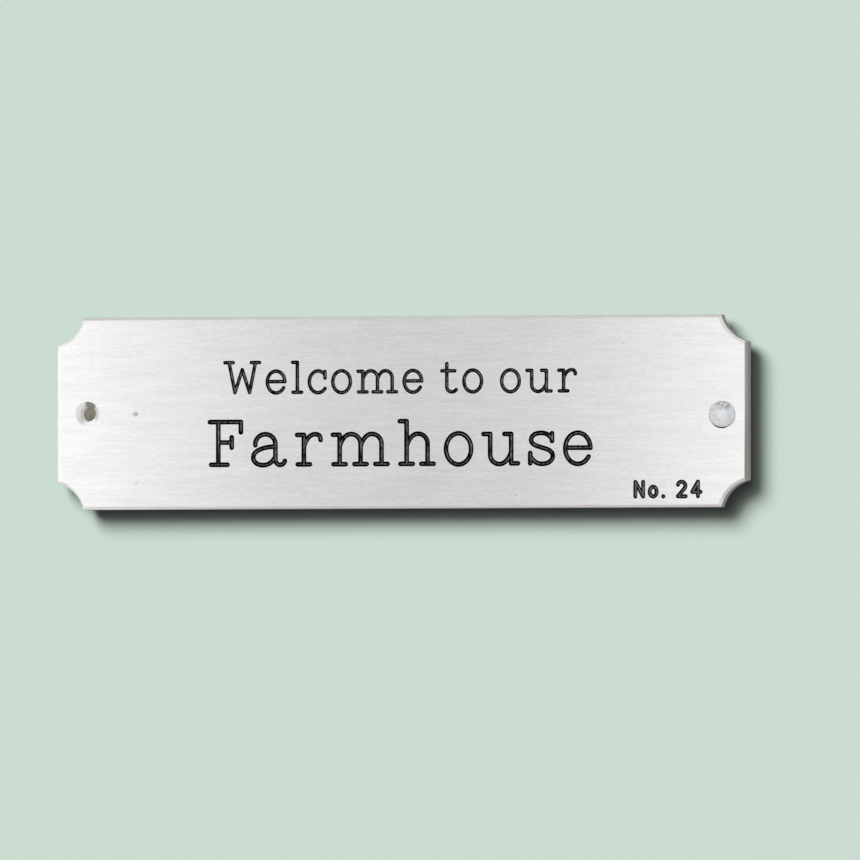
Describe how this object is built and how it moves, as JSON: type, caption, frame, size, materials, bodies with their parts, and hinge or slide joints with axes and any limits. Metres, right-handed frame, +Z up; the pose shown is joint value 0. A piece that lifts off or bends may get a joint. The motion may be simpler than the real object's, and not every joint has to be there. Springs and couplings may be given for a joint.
{
  "type": "house name sign",
  "caption": "Flat brushed aluminium plate with concave scooped corners and a countersunk screw hole near each end, engraved on its face and screwed to a door or wall.",
  "frame": {"origin": "middle of the flat back, which lies on the wall", "axes": "+X along the sign to the reader's right, +Z up, the engraved face looks towards -Y and the back towards +Y"},
  "size_m": [0.11, 0.003, 0.03],
  "materials": {
    "plate": "fine lengthwise brushed, clear anodised"
  },
  "bodies": {
    "root": {"name_plate": "plate"}
  },
  "joints": []
}
